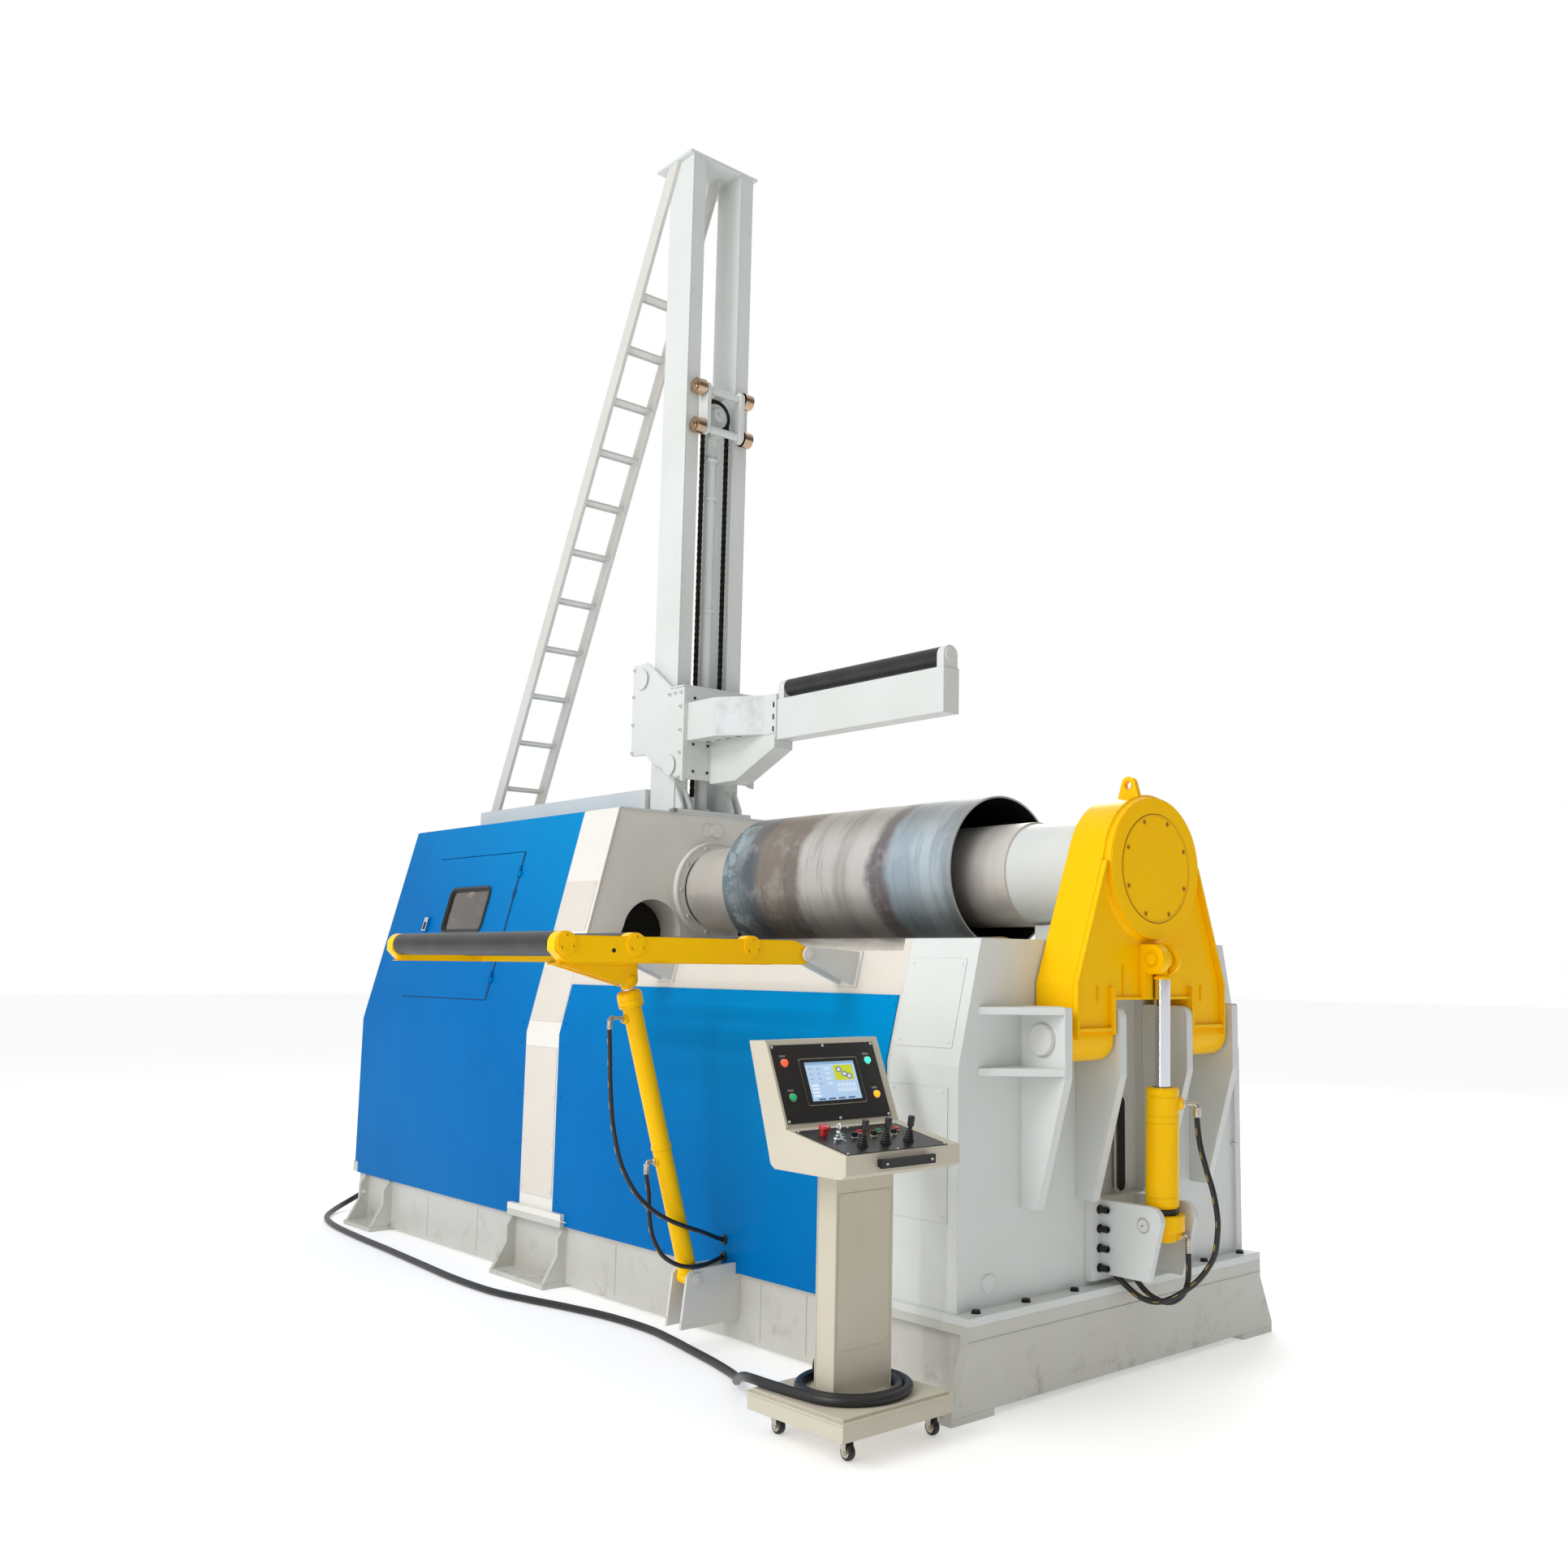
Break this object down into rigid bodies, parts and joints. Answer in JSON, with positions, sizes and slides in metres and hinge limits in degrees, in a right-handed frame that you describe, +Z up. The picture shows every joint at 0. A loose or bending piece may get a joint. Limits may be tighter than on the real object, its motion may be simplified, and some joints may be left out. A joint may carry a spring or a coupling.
{
  "type": "four-roll plate rolling machine",
  "caption": "Plate bending rolls on a steel base, with a drop end that tilts away, a side support table, an overhead support on a lift tower and a control desk.",
  "frame": {"origin": "floor level, at the centre of the four corner anchor holes, under the axis of the top roll", "axes": "+X along the rolls towards the drop end, -Y is the operator's side, +Z up"},
  "size_m": [5.8626, 3.106, 6.165],
  "materials": {
    "white_paint": "satin machine enamel",
    "cream_paint": "fine textured powder coat",
    "blue_paint": "semi-gloss enamel",
    "yellow_paint": "gloss enamel",
    "polished_steel": "ground steel with fine turning marks",
    "mill_steel": "hot rolled plate with mill scale",
    "chrome_plate": "hard chrome",
    "chain_steel": "oiled leaf chain",
    "black_plastic": "matt black",
    "black_rubber": "matt rubber",
    "window_glass": "clear pane over a dark inside"
  },
  "bodies": {
    "root": {"base_front_beam": "white_paint", "base_rear_beam": "white_paint", "base_deck": "white_paint", "drop_end_frame": "white_paint", "pivot_brackets": "white_paint", "drive_frame": "white_paint", "roll_ring": "white_paint", "drive_housing": "blue_paint", "top_beam": "white_paint", "side_cladding": "white_paint", "side_panels": "blue_paint", "tower_columns": "white_paint", "tower_top_plate": "white_paint", "tower_base": "white_paint", "tower_ladder": "white_paint", "lift_tube": "white_paint", "chain_front": "chain_steel", "bottom_roll": "polished_steel", "side_roll_rear": "polished_steel", "rolled_shell": "mill_steel", "tilt_bracket": "white_paint", "table_brackets": "white_paint", "desk_base_box": "cream_paint", "desk_post": "cream_paint", "desk_head": "cream_paint", "desk_controls": "black_plastic", "desk_casters": "black_plastic", "cable_coil": "black_rubber", "desk_cable": "black_rubber", "tilt_hose_upper": "black_rubber", "tilt_hose_lower": "black_rubber", "table_hose_upper": "black_rubber", "table_hose_lower": "black_rubber"},
    "door": {"housing_door": "blue_paint", "door_window": "window_glass"},
    "top_roll": {"top_roll": "polished_steel", "roll_collar": "white_paint"},
    "side_roll_front": {"side_roll_front": "polished_steel"},
    "yoke": {"yoke": "yellow_paint", "yoke_ears": "yellow_paint", "yoke_cover": "yellow_paint"},
    "tilt_barrel": {"tilt_barrel": "yellow_paint"},
    "tilt_rod": {"tilt_rod": "chrome_plate"},
    "table": {"table_beams": "yellow_paint", "table_crossbars": "yellow_paint", "table_lug": "yellow_paint"},
    "roller_outer": {"support_roller_outer": "black_rubber"},
    "roller_middle": {"support_roller_middle": "black_rubber"},
    "roller_inner": {"support_roller_inner": "black_rubber"},
    "table_barrel": {"table_barrel": "yellow_paint"},
    "table_rod": {"table_rod": "chrome_plate"},
    "carriage": {"carriage_plates": "white_paint", "carriage_frame": "white_paint", "arm_bracket": "white_paint", "top_arm": "white_paint", "chain_rear": "chain_steel"},
    "top_arm_roller": {"top_arm_roller": "black_rubber"},
    "crosshead": {"crosshead": "white_paint", "crosshead_rollers": "chrome_plate"}
  },
  "joints": [
    {"name": "door_hinge", "type": "hinge", "parent": "root", "child": "door", "pos_m": [-1.2, -0.75048, 1.74918], "axis": [0, 0.2425, 0.9701], "range_deg": [0, 110]},
    {"name": "top_roll_spin", "type": "hinge", "parent": "root", "child": "top_roll", "pos_m": [0.9, 0, 1.94], "axis": [1, 0, 0], "continuous": true},
    {"name": "side_roll_spin", "type": "hinge", "parent": "root", "child": "side_roll_front", "pos_m": [0.9, -0.45, 1.5], "axis": [1, 0, 0], "continuous": true},
    {"name": "drop_end_tilt", "type": "hinge", "parent": "root", "child": "yoke", "pos_m": [2.53, 0, 1.284], "axis": [0, 1, 0], "range_deg": [0, 75]},
    {"name": "tilt_barrel_swing", "type": "hinge", "parent": "root", "child": "tilt_barrel", "pos_m": [2.655, 0, 0.588], "axis": [0, 1, 0], "range_deg": [0, 16.7], "deforming": ["tilt_hose_upper", "tilt_hose_lower"]},
    {"name": "tilt_rod_slide", "type": "slide", "parent": "tilt_barrel", "child": "tilt_rod", "axis": [-0.0131, 0, -0.9999], "range_m": [0, 0.345]},
    {"name": "table_tilt", "type": "hinge", "parent": "root", "child": "table", "pos_m": [1.095, -1.035, 1.588], "axis": [-1, 0, 0], "range_deg": [0, 35]},
    {"name": "table_barrel_swing", "type": "hinge", "parent": "root", "child": "table_barrel", "pos_m": [1.095, -1.081, 0.29], "axis": [-1, 0, 0], "range_deg": [0, 3.2], "deforming": ["table_hose_upper", "table_hose_lower"]},
    {"name": "table_rod_slide", "type": "slide", "parent": "table_barrel", "child": "table_rod", "axis": [0, -0.2775, 0.9607], "range_m": [0, 0.24]},
    {"name": "roller_outer_spin", "type": "hinge", "parent": "table", "child": "roller_outer", "pos_m": [1.095, -2.082, 1.612], "axis": [1, 0, 0], "continuous": true},
    {"name": "roller_middle_spin", "type": "hinge", "parent": "table", "child": "roller_middle", "pos_m": [1.095, -1.808, 1.612], "axis": [1, 0, 0], "continuous": true},
    {"name": "roller_inner_spin", "type": "hinge", "parent": "table", "child": "roller_inner", "pos_m": [1.095, -1.3, 1.612], "axis": [1, 0, 0], "continuous": true},
    {"name": "carriage_lift", "type": "slide", "parent": "root", "child": "carriage", "axis": [0, 0, 1], "range_m": [0, 2.3], "deforming": ["chain_rear"]},
    {"name": "top_arm_roller_spin", "type": "hinge", "parent": "carriage", "child": "top_arm_roller", "pos_m": [0.85, 0, 2.973], "axis": [1, 0, 0], "continuous": true},
    {"name": "crosshead_slide", "type": "slide", "parent": "root", "child": "crosshead", "axis": [0, 0, 1], "range_m": [0, 1.15], "deforming": ["chain_front"]}
  ],
  "couplings": [
    {"joint": "tilt_barrel_swing", "follows": "drop_end_tilt", "ratio": 0.22184},
    {"joint": "tilt_rod_slide", "follows": "drop_end_tilt", "m_per_rad": 0.24835},
    {"joint": "table_barrel_swing", "follows": "table_tilt", "ratio": 0.084791},
    {"joint": "table_rod_slide", "follows": "table_tilt", "m_per_rad": 0.38132},
    {"joint": "crosshead_slide", "follows": "carriage_lift", "ratio": 0.5}
  ]
}
